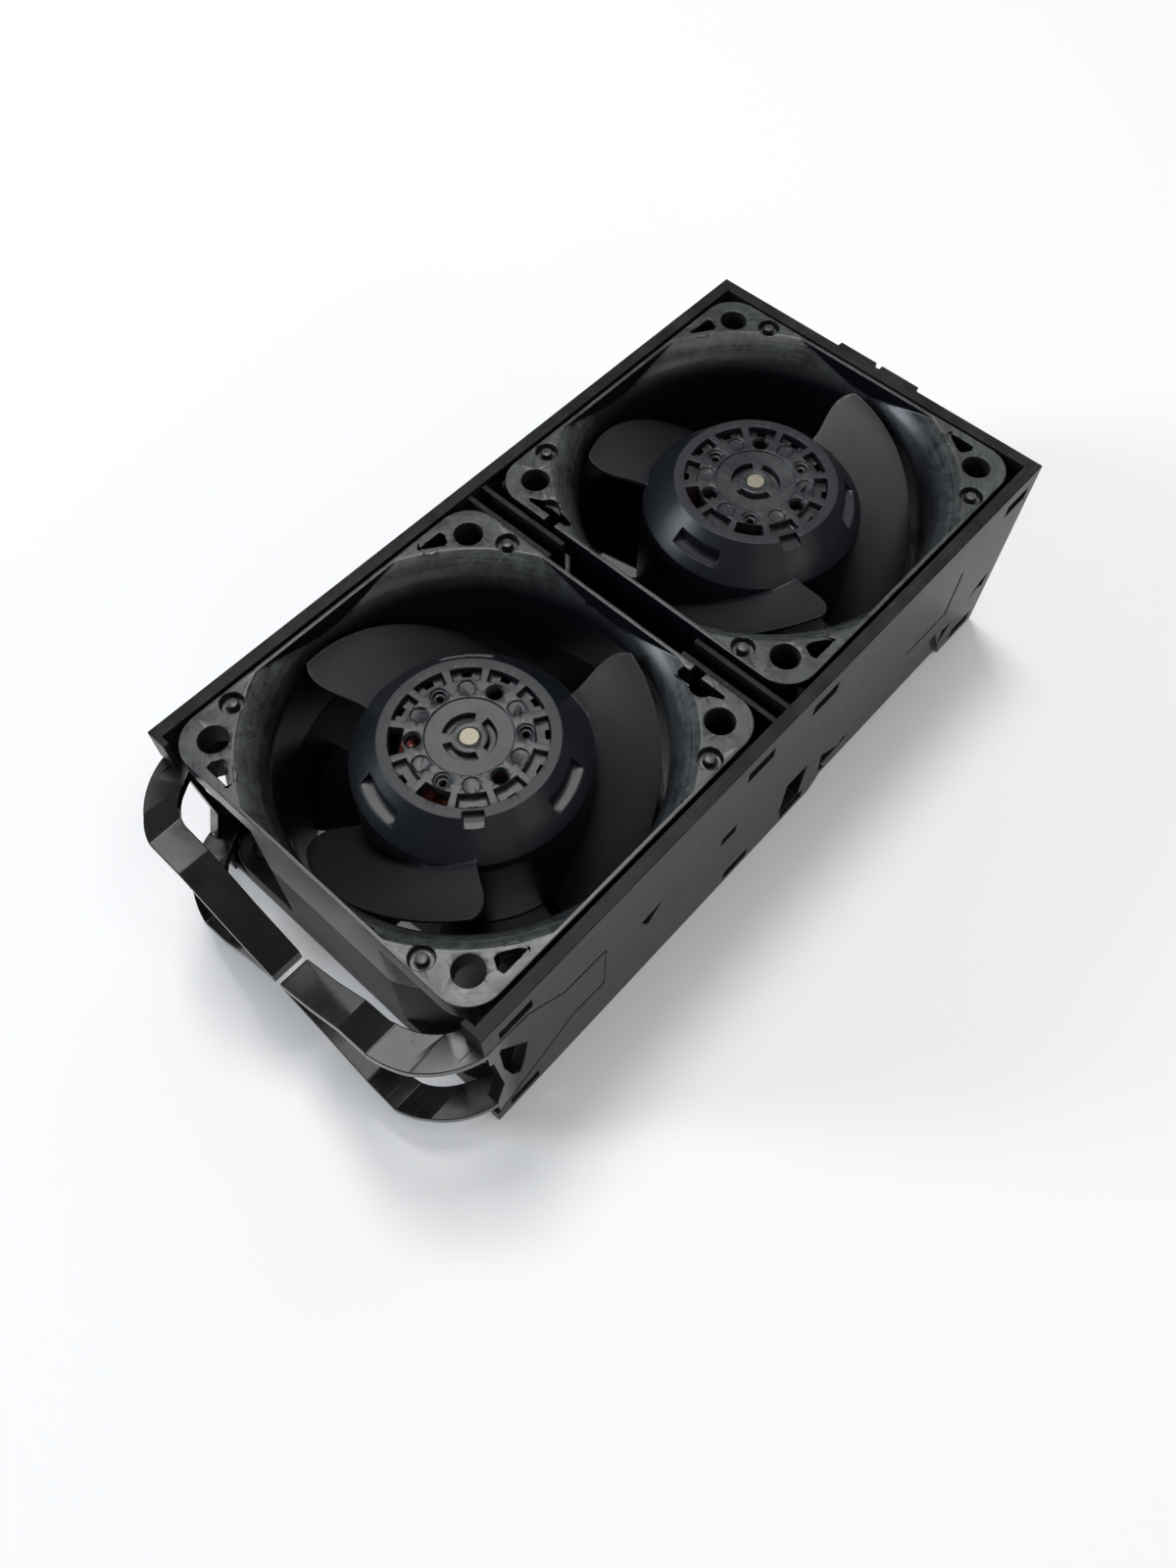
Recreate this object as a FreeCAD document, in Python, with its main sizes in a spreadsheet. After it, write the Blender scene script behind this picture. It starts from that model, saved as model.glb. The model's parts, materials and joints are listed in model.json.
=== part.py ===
import FreeCAD, Part
import math
import os
import re
import Sketcher

# Server fan module: two square axial fans lie side by side in one moulded tray.
# +X runs along the tray from the squeeze levers to the connector end, +Y to the left wall,
# +Z out of the air inlets. The origin is on the tray's underside, midway between the fans.

DOC = FreeCAD.newDocument("ServerFanModule")
SHEET = DOC.addObject("Spreadsheet::Sheet", "Sizes")
V = FreeCAD.Vector
UP = V(0, 0, 1)

SIZES = {
    # fan frame
    "fan_square": 60.0,
    "fan_depth": 38.0,
    "fan_pitch": 65.0,
    "flange_thick": 4.3,
    "flange_round": 5.5,
    "hole_spacing": 50.0,
    "hole_radius": 2.25,
    "barrel_radius": 32.6,
    "throat_radius": 28.5,
    "mouth_radius": 32.5,
    "side_rim": 0.7,
    "bell_radius": 7.0,
    "outlet_radius": 29.4,
    "outlet_chamfer": 2.4,
    "frame_split": 21.0,
    "pin_recess_radius": 1.8,
    "pin_recess_deep": 1.4,
    "pin_radius": 0.85,
    # tray
    "side_gap": 0.6,
    "end_gap": 0.45,
    "tray_wall": 2.1,
    "floor_thick": 2.5,
    "floor_hole_radius": 29.2,
    "lip_reach": 1.6,
    "lip_thick": 1.0,
    "rib_thick": 0.9,
    "rib_reach": 17.4,
    "rib_drop": 0.6,
    "near_rib_x": -1.75,
    "far_rib_x": 1.35,
    "nib_reach": 1.3,
    "nib_high": 1.6,
    "seat_gap": 0.2,
    "window_long": 6.0,
    "window_high": 2.6,
    "window_drop": 5.7,
    "lower_window_z": 1.6,
    "key_pad_width": 7.5,
    "key_pad_proud": 0.9,
    "key_slot": 1.0,
    "scoop_deep": 0.7,
    # levers
    "slit": 0.5,
    "lever_root": 40.0,
    "hinge_gap": 0.05,
    "strap_width": 5.2,
    "strap_thick": 1.7,
    "strap_front": 73.1,
    "strap_drop": 6.9,
    "strap_bend": 14.5,
    "tip_gap": 1.7,
    "lever_middle": 20.35,
    "lever_narrow": 13.3,
    # rotor
    "hub_radius": 18.1,
    "hub_ring_radius": 13.2,
    "hub_wall": 1.3,
    "hub_inset": 1.4,
    "hub_plate": 2.0,
    "hub_shoulder": 6.8,
    "hub_slot_deep": 3.9,
    "hub_bottom": 11.8,
    "spoke_outer": 11.5,
    "spoke_inner": 9.4,
    "spoke_width": 1.0,
    "bay_deep": 1.3,
    "boss_circle": 8.0,
    "hub_boss_radius": 4.0,
    "hub_boss_long": 3.1,
    "tip_clear": 1.0,
    "blade_thick": 1.2,
    "blade_wrap": 88.0,
    "blade_root_top": 6.5,
    "blade_tip_top": 2.6,
    "blade_bottom": 13.2,
    "blade_sweep": 2.5,
    "shaft_radius": 1.5,
    "shaft_recess": 0.25,
    "shaft_bottom": 2.9,
    "yoke_wall": 1.5,
    "yoke_lip": 1.0,
    "yoke_top": 7.7,
    "yoke_bottom": 13.5,
    "magnet_thick": 2.2,
    "magnet_bottom": 16.5,
    "air_gap": 0.5,
    # stator
    "base_radius": 18.0,
    "base_wall": 1.4,
    "base_high": 10.8,
    "base_plate": 2.2,
    "base_inset": 0.6,
    "vane_thick": 1.1,
    "vane_top": 9.8,
    "vane_wrap": 24.0,
    "tube_radius": 4.2,
    "tube_top": 30.0,
    "bearing_radius": 3.5,
    "bearing_high": 3.0,
    "bearing_clear": 0.03,
    "bearing_inset": 1.0,
    "core_thick": 8.5,
    "core_bottom": 18.5,
    "core_ring": 2.4,
    "tooth_width": 2.4,
    "shoe_thick": 1.3,
    "bobbin_wall": 0.6,
    "coil_build": 2.0,
    "board_z": 8.6,
    "board_thick": 1.2,
    # connector
    "plug_edge_gap": 2.2,
    "plug_z": 13.0,
    "plug_width": 10.4,
    "plug_high": 8.0,
    "plug_clear": 0.4,
    "plug_back": 0.6,
    "plug_flange": 0.8,
    "plug_pitch": 2.3,
    "contact_size": 0.6,
    "socket_size": 1.2,
}

for row, (alias, number) in enumerate(SIZES.items(), start=1):
    SHEET.set("A%d" % row, str(number))
    SHEET.setAlias("A%d" % row, alias)
DOC.recompute()

# Places that several pieces share, written from the sheet's sizes.
HALF_FAN = "(fan_square / 2)"
FAN_TOP = "(floor_thick + fan_depth)"
WALL_IN = "(fan_square / 2 + side_gap)"
WALL_OUT = "(fan_square / 2 + side_gap + tray_wall)"
NEAR_END = "(-fan_pitch / 2 - fan_square / 2)"
FAR_IN = "(fan_pitch / 2 + fan_square / 2 + end_gap)"
FAR_OUT = "(fan_pitch / 2 + fan_square / 2 + end_gap + tray_wall)"
HUB_TOP = "(fan_depth - hub_inset)"
WINDOW_TOP = "(floor_thick + fan_depth - window_drop)"
STRAP_TOP = "(floor_thick + fan_depth - strap_drop)"
PLUG_Y = "(fan_square / 2 + side_gap - plug_edge_gap - plug_width / 2)"
BELL_Z = "(fan_depth - sqrt(bell_radius ^ 2 - (bell_radius + throat_radius - mouth_radius) ^ 2))"
YOKE_RADIUS = "(hub_radius - hub_wall)"
MAGNET_RADIUS = "(hub_radius - hub_wall - yoke_wall)"
CORE_RADIUS = "(hub_radius - hub_wall - yoke_wall - magnet_thick - air_gap)"
SPOKES = 12
OPEN_BAYS = (-1, -3)
BLADES = 3
VANES = 7
TEETH = 6


def formula(text):
    """Write the sheet's name in front of each of its aliases."""
    return re.sub(r"[a-z_]+", lambda m: "Sizes." + m.group() if m.group() in SIZES else m.group(), str(text))


def number(text):
    """The value of a formula."""
    result = SHEET.evalExpression(formula(text))
    return float(getattr(result, "Value", result))


def bind(item, **formulas):
    """Bind an object's properties to formulas of the sheet."""
    for name, text in formulas.items():
        item.setExpression(name.replace("__", "."), formula(text))
    return item


def place(item, x=0, y=0, z=0, turn=0):
    """Set an object's place, bound to the sheet, and its turn about Z in degrees."""
    item.Placement = FreeCAD.Placement(V(number(x), number(y), number(z)), FreeCAD.Rotation(UP, turn))
    return bind(item, Placement__Base__x=x, Placement__Base__y=y, Placement__Base__z=z)


# ---- sketches ----------------------------------------------------------------------------------

def flat_sketch(owner, name, plane, offset=0):
    """An empty sketch on one of its body's origin planes, moved along the plane's normal."""
    sketch = owner.newObject("Sketcher::SketchObject", name)
    sketch.AttachmentSupport = [f for f in owner.Origin.OriginFeatures if f.Role == plane + "_Plane"][0]
    sketch.MapMode = "FlatFace"
    bind(sketch, AttachmentOffset__Base__z=offset)
    return sketch


def free_sketch(name, axes, origin=(0, 0, 0)):
    """A sketch outside any body, whose X, Y and normal are the three given axes."""
    sketch = DOC.addObject("Sketcher::SketchObject", name)
    base = V(*[number(part) for part in origin])
    sketch.Placement = FreeCAD.Placement(base, FreeCAD.Rotation(axes[0], axes[1], axes[2], "ZXY"))
    bind(sketch, Placement__Base__x=origin[0], Placement__Base__y=origin[1], Placement__Base__z=origin[2])
    return sketch


def lock(sketch, geo, end, x, y):
    """Hold one point of a sketch at a place given by two formulas."""
    for kind, text in (("DistanceX", x), ("DistanceY", y)):
        row = sketch.addConstraint(Sketcher.Constraint(kind, -1, 1, geo, end, number(text)))
        sketch.setExpression("Constraints[%d]" % row, formula(text))


def outline(sketch, points):
    """A closed outline. A point is (x, y), or (x, y, radius) where the run that starts there is an
    arc of that radius: positive bends to the left of the run, negative to its right."""
    first = sketch.GeometryCount
    total = len(points)
    spots = [V(number(p[0]), number(p[1]), 0) for p in points]
    ends = []
    for i, point in enumerate(points):
        start = spots[i]
        end = spots[(i + 1) % total]
        clockwise = len(point) == 3 and number(point[2]) > 0
        ends.append((2, 1) if clockwise else (1, 2))
        if len(point) == 2:
            sketch.addGeometry(Part.LineSegment(start, end))
            continue
        radius = number(point[2])
        chord = end - start
        left = V(-chord.y, chord.x, 0).normalize()
        rise = math.sqrt(radius ** 2 - (chord.Length / 2) ** 2)
        middle = (start + end) * 0.5 + left * math.copysign(abs(radius) - rise, radius)
        sketch.addGeometry(Part.Arc(end, middle, start) if clockwise else Part.Arc(start, middle, end))
    for i in range(total):
        after = (i + 1) % total
        sketch.addConstraint(Sketcher.Constraint("Coincident", first + i, ends[i][1], first + after, ends[after][0]))
        lock(sketch, first + i, ends[i][0], points[i][0], points[i][1])
        if len(points[i]) == 3:
            row = sketch.addConstraint(Sketcher.Constraint("Radius", first + i, abs(number(points[i][2]))))
            sketch.setExpression("Constraints[%d]" % row, formula("abs(%s)" % points[i][2]))


def rectangle(sketch, x_low, x_high, y_low, y_high):
    """A rectangle between two corners."""
    outline(sketch, [(x_low, y_low), (x_high, y_low), (x_high, y_high), (x_low, y_high)])


def disc(sketch, x, y, radius):
    """A full circle."""
    geo = sketch.addGeometry(Part.Circle(V(number(x), number(y), 0), UP, number(radius)))
    lock(sketch, geo, 3, x, y)
    row = sketch.addConstraint(Sketcher.Constraint("Radius", geo, number(radius)))
    sketch.setExpression("Constraints[%d]" % row, formula(radius))


def rounded_square(sketch, half, radius):
    """A square about the origin with round corners."""
    run = "%s - %s" % (half, radius)
    outline(sketch, [
        ("-(%s)" % run, "-(%s)" % half), (run, "-(%s)" % half, "-%s" % radius),
        (half, "-(%s)" % run), (half, run, "-%s" % radius),
        (run, half), ("-(%s)" % run, half, "-%s" % radius),
        ("-(%s)" % half, run), ("-(%s)" % half, "-(%s)" % run, "-%s" % radius)])


def sector(sketch, inner, outer, start, end):
    """Part of a ring between two angles in degrees."""
    corners = []
    for radius, angle in ((inner, start), (outer, start), (outer, end), (inner, end)):
        corners.append(["(%s) * cos(%s)" % (radius, angle), "(%s) * sin(%s)" % (radius, angle)])
    corners[1].append("-(%s)" % outer)
    corners[3].append(inner)
    outline(sketch, [tuple(corner) for corner in corners])


# ---- features ----------------------------------------------------------------------------------

def new_body(label):
    body = DOC.addObject("PartDesign::Body", label)
    body.Label = label
    return body


def pad(body, sketch, length, down=False):
    feature = body.newObject("PartDesign::Pad", sketch.Name + "Pad")
    feature.Profile = sketch
    feature.Reversed = down
    bind(feature, Length=length)
    sketch.Visibility = False
    return feature


def pocket(body, sketch, length, up=False):
    """Cut a sketch into the solid, and make sure that it removes something."""
    DOC.recompute()
    before = body.Shape.Volume
    feature = body.newObject("PartDesign::Pocket", sketch.Name + "Pocket")
    feature.Profile = sketch
    feature.Reversed = up
    bind(feature, Length=length)
    DOC.recompute()
    if not body.Shape.Volume < before:
        raise ValueError(sketch.Name + " cuts nothing")
    return feature


def revolve(body, sketch, kind="Revolution"):
    feature = body.newObject("PartDesign::" + kind, sketch.Name + kind)
    feature.Profile = sketch
    feature.ReferenceAxis = (sketch, ["V_Axis"])
    feature.Angle = 360
    return feature


def around(body, feature, count):
    """Repeat a feature evenly about the body's Z axis."""
    pattern = body.newObject("PartDesign::PolarPattern", feature.Name + "Around")
    pattern.Originals = [feature]
    pattern.Axis = ([f for f in body.Origin.OriginFeatures if f.Role == "Z_Axis"][0], [""])
    pattern.Angle = 360
    pattern.Occurrences = count
    body.Tip = pattern
    return pattern


def extrusion(sketch, length, name):
    """A solid made by moving a free sketch along its normal."""
    solid = DOC.addObject("Part::Extrusion", name)
    solid.Base = sketch
    solid.DirMode = "Normal"
    solid.Solid = True
    bind(solid, LengthFwd=length)
    return solid


def box(name, x, y, z, length, width, height):
    """A block between x..x+length, y..y+width and z..z+height."""
    block = DOC.addObject("Part::Box", name)
    bind(block, Length=length, Width=width, Height=height)
    return place(block, x, y, z)


def fuse(name, shapes):
    joined = DOC.addObject("Part::MultiFuse", name)
    joined.Shapes = shapes
    joined.Refine = False
    return joined


def common(name, shapes):
    shared = DOC.addObject("Part::MultiCommon", name)
    shared.Shapes = shapes
    return shared


def group(name, shapes):
    """Like pieces that stay separate solids under one name."""
    pieces = DOC.addObject("Part::Compound", name)
    pieces.Links = shapes
    return pieces


def twisted_sheet(radii, lead, wrap, sweep, tops, bottom, thick, tip_round):
    """A blade or vane: a sheet wound about Z from its leading edge, thin at both edges.
    radii are its sections. lead, wrap and sweep are the leading angle, the turn and the leading
    edge's lean in degrees, tops its height at root and tip, and bottom the trailing edge's height."""
    stations = [0.0, 0.05, 0.2, 0.4, 0.6, 0.8, 1.0]
    surfaces = []
    for side in (0.5, -0.5):
        grid = []
        for radius in radii:
            reach = (radius - radii[0]) / (radii[-1] - radii[0])
            rounding = tip_round * max(0.0, (reach - 0.7) / 0.3) ** 2
            top = tops[0] + (tops[1] - tops[0]) * reach
            line = []
            for share in stations:
                angle = math.radians(lead + sweep * reach - rounding - (wrap - 2 * rounding) * share)
                height = top - (top - bottom) * (0.35 * share + 0.65 * share ** 2)
                body = thick * (0.4 + 0.6 * math.sin(math.pi * (0.1 + 0.8 * share)))
                line.append(V(radius * math.cos(angle), radius * math.sin(angle), height + side * body))
            grid.append(line)
        surface = Part.BSplineSurface()
        surface.interpolate(grid)
        surfaces.append(surface)
    upper, lower = surfaces
    faces = [upper.toShape(), lower.toShape()]
    u_low, u_high, v_low, v_high = upper.bounds()
    for pick in (lambda s: s.uIso(u_low), lambda s: s.uIso(u_high), lambda s: s.vIso(v_low), lambda s: s.vIso(v_high)):
        faces.append(Part.makeRuledSurface(pick(upper).toShape(), pick(lower).toShape()))
    shell = Part.makeShell(faces)
    shell.sewShape()
    solid = Part.makeSolid(shell)
    if solid.Volume < 0:
        solid.reverse()
    return solid


def sheets_around(name, sheet, count):
    """Copies of a sheet set evenly about Z."""
    pieces = []
    for i in range(count):
        piece = DOC.addObject("Part::Feature", "%s%d" % (name, i + 1))
        piece.Shape = sheet
        piece.Placement = FreeCAD.Placement(V(0, 0, 0), FreeCAD.Rotation(UP, i * 360.0 / count))
        pieces.append(piece)
    return pieces


# ---- tray --------------------------------------------------------------------------------------

def lever_edge(shift):
    """The lever's outline in the side wall, from its near upper corner round the root to its near
    lower corner, each edge moved out by shift."""
    upper = "%s + %s" % (STRAP_TOP, shift)
    lower = "lever_narrow - %s" % shift
    return [
        (NEAR_END, upper + " + 0.3"),
        ("-54.9", upper + " - 0.2"),
        ("-48.1", upper + " - 6.4"),
        ("-lever_root", upper + " - 7.0"),
        ("-lever_root", lower),
        ("-46.7", lower + " + 0.4"),
        ("-49.8", lower + " - 1.7"),
        (NEAR_END, lower + " - 9.3"),
    ]


# Openings through each side wall, as (x, z) outlines.
WALL_CUTS = {
    "WedgeSlot": [("-27.2", "22.7"), ("-31.9", "22.2"), ("-30.2", "19.1"), ("-28.8", "20.9")],
    "MiddleSlot": [("-9.6", "21.6"), ("-13.1", "21.7"), ("-13.2", "19.4"), ("-9.7", "19.4")],
    "FootWindow": [("4.7", "4.5"), ("10", "4.5"), ("10", "14.5"), ("4.7", "14.5")],
    "CornerSlit": [("48.4", "28.8"), ("47.8", "28.8"), ("47.8", "18.0"), ("36.6", "18.0"), ("36.6", "17.4"),
                   ("48.4", "17.4")],
    "BladeSlot": [("62.9", "15.6"), ("62.4", "12.3"), ("60.4", "13.4"), ("57.9", "12.4"), ("60.2", "14.6")],
    "ClipSlot": [("54.2", "9.8"), ("51.2", "9.7"), ("51.6", "5.2"), ("53.5", "8.9")],
    "FootSlot": [("14.7", "11.6"), ("15.6", "5.2"), ("18.6", "4.0"), ("24.8", "5.0")],
}


def build_tray():
    """The moulded tray: floor, two long walls, the far end wall and the ribs between the fans."""
    tray = new_body("carrier_tray")
    walls = flat_sketch(tray, "Walls", "XY")
    outline(walls, [
        (NEAR_END, "-" + WALL_OUT), (FAR_OUT, "-" + WALL_OUT), (FAR_OUT, WALL_OUT), (NEAR_END, WALL_OUT),
        (NEAR_END, WALL_IN), (FAR_IN, WALL_IN), (FAR_IN, "-" + WALL_IN), (NEAR_END, "-" + WALL_IN)])
    pad(tray, walls, FAN_TOP)
    floor = flat_sketch(tray, "Floor", "XY")
    rectangle(floor, NEAR_END, FAR_OUT, "-" + WALL_OUT, WALL_OUT)
    pad(tray, floor, "floor_thick")
    ribs = flat_sketch(tray, "Ribs", "XY")
    lips = flat_sketch(tray, "Lips", "XY")
    keys = flat_sketch(tray, "Keys", "XY")
    for side in ("", "-"):
        for rib in ("near_rib_x", "far_rib_x"):
            rectangle(ribs, "%s - rib_thick / 2" % rib, "%s + rib_thick / 2" % rib,
                      "%s(%s - rib_reach)" % (side, WALL_IN), "%s(%s + tray_wall / 2)" % (side, WALL_IN))
        rectangle(lips, "%s - lip_thick / 2" % NEAR_END, "%s + lip_thick / 2" % NEAR_END,
                  "%s(%s - lip_reach)" % (side, WALL_IN), side + WALL_OUT)
        rectangle(keys, "%s - tray_wall / 2" % FAR_OUT, "%s + key_pad_proud" % FAR_OUT,
                  side + "(key_slot / 2)", side + "(key_slot / 2 + key_pad_width)")
    pad(tray, ribs, "%s - rib_drop" % FAN_TOP)
    pad(tray, lips, FAN_TOP)
    pad(tray, keys, FAN_TOP)
    for side, name in (("-", "Right"), ("", "Left")):
        nibs = flat_sketch(tray, name + "Nibs", "XY", "floor_thick + flange_thick + seat_gap")
        for x in window_middles()[1:]:
            rectangle(nibs, "%s - window_long / 2" % x, "%s + window_long / 2" % x,
                      "%s(%s - nib_reach)" % (side, WALL_IN), "%s(%s + tray_wall / 2)" % (side, WALL_IN))
        pad(tray, nibs, "nib_high")
    outlets = flat_sketch(tray, "FloorOutlets", "XY")
    for x in ("-fan_pitch / 2", "fan_pitch / 2"):
        disc(outlets, x, 0, "floor_hole_radius")
    pocket(tray, outlets, "floor_thick", up=True)
    bolts = flat_sketch(tray, "FloorBoltHoles", "XY")
    for fan in ("-fan_pitch / 2", "fan_pitch / 2"):
        for x in ("-hole_spacing / 2", "hole_spacing / 2"):
            for y in ("-hole_spacing / 2", "hole_spacing / 2"):
                disc(bolts, "%s + %s" % (fan, x), y, "hole_radius")
    pocket(tray, bolts, "floor_thick", up=True)
    for side, name in ((1, "Right"), (-1, "Left")):
        cut_wall(tray, side, name)
    cut_connector_opening(tray)
    return tray


def window_middles():
    """Where the small flange windows stand along each wall."""
    return ("-fan_pitch / 2 - 24.6", "-fan_pitch / 2 + 25.8", "fan_pitch / 2 - 24.0", "fan_pitch / 2 + 27.4")


def cut_wall(tray, side, name):
    """Cut the lever's place, its hinge seat and the windows into one side wall. side is 1 for the
    right wall and -1 for the left one."""
    face = "%d * %s" % (side, WALL_OUT)
    inward = side > 0
    gap = flat_sketch(tray, name + "LeverGap", "XZ", face)
    edge = lever_edge("slit / 2")
    before_end = "%s - lip_thick" % NEAR_END
    outline(gap, [(before_end, edge[0][1])] + edge + [(before_end, edge[-1][1])])
    pocket(tray, gap, "tray_wall + lip_reach + side_gap", up=not inward)
    seat = flat_sketch(tray, name + "HingeSeat", "XY", "lever_narrow - slit / 2")
    disc(seat, "-lever_root", "-%d * (%s + tray_wall / 2)" % (side, WALL_IN), "tray_wall / 2 + hinge_gap")
    pocket(tray, seat, "%s - 7.0 - lever_narrow + slit" % STRAP_TOP, up=True)
    windows = flat_sketch(tray, name + "Windows", "XZ", face)
    for x in window_middles():
        for z in (WINDOW_TOP, "lower_window_z"):
            rectangle(windows, "%s - window_long / 2" % x, "%s + window_long / 2" % x, z, z + " + window_high")
    pocket(tray, windows, "tray_wall", up=not inward)
    for label, points in WALL_CUTS.items():
        cut = flat_sketch(tray, name + label, "XZ", face)
        outline(cut, points)
        pocket(tray, cut, "tray_wall", up=not inward)
    scoop = flat_sketch(tray, name + "Scoop", "XZ", face)
    outline(scoop, [("14", "0"), ("54", "0"), ("48", "11.8"), ("23", "11.6")])
    pocket(tray, scoop, "scoop_deep", up=not inward)


def cut_connector_opening(tray):
    opening = flat_sketch(tray, "PlugOpening", "YZ", FAR_OUT)
    rectangle(opening, PLUG_Y + " - plug_width / 2", PLUG_Y + " + plug_width / 2",
              "plug_z - plug_high / 2", "plug_z + plug_high / 2")
    pocket(tray, opening, "tray_wall")


# ---- levers ------------------------------------------------------------------------------------

def build_lever(label, side):
    """One squeeze lever: the spring plate in the side wall, its round root, and the two straps that
    bend round the near corner and meet at mid height. side is -1 for the right lever, 1 for the left."""
    across = V(0, 1, 0) if side < 0 else V(0, -1, 0)
    plate_sketch = free_sketch(label + "Plate", (V(1, 0, 0), UP, V(0, -1, 0)),
                               (0, WALL_OUT if side > 0 else "-" + WALL_IN, 0))
    outline(plate_sketch, plate_outline())
    outline(plate_sketch, [("-60.6", "31.0"), ("-60.3", "21.8"), ("-59", "15.1"), ("-57.6", "12.8"),
                           ("-56.6", "16.4"), ("-55.6", "22.6")])
    plate = extrusion(plate_sketch, "tray_wall", label + "PlateSolid")
    root = DOC.addObject("Part::Cylinder", label + "Root")
    bind(root, Radius="tray_wall / 2", Height="%s - 7.0 - lever_narrow - slit" % STRAP_TOP)
    place(root, "-lever_root", "%d * (%s + tray_wall / 2)" % (side, WALL_IN), "lever_narrow + slit / 2")
    straps = []
    for name, turn in (("Upper", 1), ("Lower", -1)):
        straps.append(build_strap(label + name, side, turn))
    lever = fuse(label, [plate, root] + straps)
    lever.Label = label
    return lever


def plate_outline():
    """The lever's plate inside the side wall, with the corner window open at its near end."""
    edge = lever_edge("(-slit / 2)")
    return edge + [(NEAR_END, "9.1"), ("-60.7", "14.6"), ("-61.8", "27.8"), (NEAR_END, "28.4")]


def strap_height(turn, rise):
    """A height on the upper strap (turn 1), or its mirror image on the lower one (turn -1)."""
    return "lever_middle + %d * (%s - lever_middle + (%s))" % (turn, STRAP_TOP, rise)


def build_strap(label, side, turn):
    """A flat strap: its bent front view, moved along X, within its curved plan."""
    front = free_sketch(label + "Front", (V(0, side, 0), UP, V(side, 0, 0)),
                        ("-strap_front" if side > 0 else "-57.5", 0, 0))
    ridge = [(WALL_OUT, "0"), ("26.7", "0"), ("21.7", "2.0"), ("16.0", "0.4"), ("8.6", "-6.6"),
             ("tip_gap / 2", "-12.0")]
    top = [(y, strap_height(turn, rise)) for y, rise in ridge]
    under = [(y, strap_height(turn, "%s - strap_thick" % rise)) for y, rise in reversed(ridge)]
    outline(front, top + under)
    band = extrusion(front, "strap_front - 57.5", label + "Band")
    plan = free_sketch(label + "Plan", (V(1, 0, 0), V(0, side, 0), V(0, 0, side)),
                       (0, 0, 0 if side > 0 else FAN_TOP))
    outline(plan, [
        ("-57.5", WALL_OUT), ("-62.5", WALL_OUT, "-strap_bend"), ("-strap_front", "21.7"), ("-strap_front", "0"),
        ("-strap_front + strap_width", "0"), ("-strap_front + strap_width", "20.5", "strap_bend - strap_width"),
        ("-62.5", "%s - strap_width" % WALL_OUT), ("-57.5", "%s - tray_wall" % WALL_OUT)])
    shadow = extrusion(plan, FAN_TOP, label + "Shadow")
    return common(label + "Strap", [band, shadow])


# ---- fans --------------------------------------------------------------------------------------

def square_barrel(body, name, bottom, height):
    """A round barrel whose sides are cut flat to the fan's square."""
    block = flat_sketch(body, name + "Block", "XY", bottom)
    rectangle(block, "-" + HALF_FAN, HALF_FAN, "-" + HALF_FAN, HALF_FAN)
    pad(body, block, height)
    corners = flat_sketch(body, name + "Corners", "XY", bottom)
    rectangle(corners, "-fan_square", "fan_square", "-fan_square", "fan_square")
    disc(corners, 0, 0, "barrel_radius")
    pocket(body, corners, height, up=True)


def bolt_hole_outlines(sketch):
    for x in ("-hole_spacing / 2", "hole_spacing / 2"):
        for y in ("-hole_spacing / 2", "hole_spacing / 2"):
            disc(sketch, x, y, "hole_radius")


def build_inlet_frame(fan):
    """The inlet half of a fan's frame: flange, bellmouth and upper barrel."""
    frame = new_body(fan + "_inlet_frame")
    square_barrel(frame, fan + "UpperBarrel", "frame_split", "fan_depth - frame_split")
    flange = flat_sketch(frame, fan + "InletFlange", "XY", "fan_depth - flange_thick")
    rounded_square(flange, HALF_FAN, "flange_round")
    pad(frame, flange, "flange_thick")
    duct = flat_sketch(frame, fan + "InletDuct", "XZ")
    outline(duct, [(0, "frame_split"), ("throat_radius", "frame_split"), ("throat_radius", BELL_Z, "bell_radius"),
                   ("mouth_radius", "fan_depth"), (0, "fan_depth")])
    revolve(frame, duct, "Groove")
    rim = flat_sketch(frame, fan + "SideRims", "XY", "fan_depth - flange_thick")
    rounded_square(rim, HALF_FAN, "flange_round")
    rounded_square(rim, "(fan_square / 2 - side_rim)", "(flange_round - side_rim)")
    pad(frame, rim, "flange_thick")
    holes = flat_sketch(frame, fan + "InletHoles", "XY", "fan_depth")
    bolt_hole_outlines(holes)
    pocket(frame, holes, "flange_thick")
    cut_flange_corners(frame, fan)
    return frame


def quarter_turn(x, y, quarters):
    """Turn a point of two formulas by whole quarter turns about the origin."""
    for _ in range(quarters):
        x, y = "-(%s)" % y, x
    return x, y


def by_hole(along, inward):
    """A point near the +X+Y bolt hole: so far along X from the hole, and so far in from the edge."""
    return "hole_spacing / 2 + (%s)" % along, "fan_square / 2 - (%s)" % inward


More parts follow.
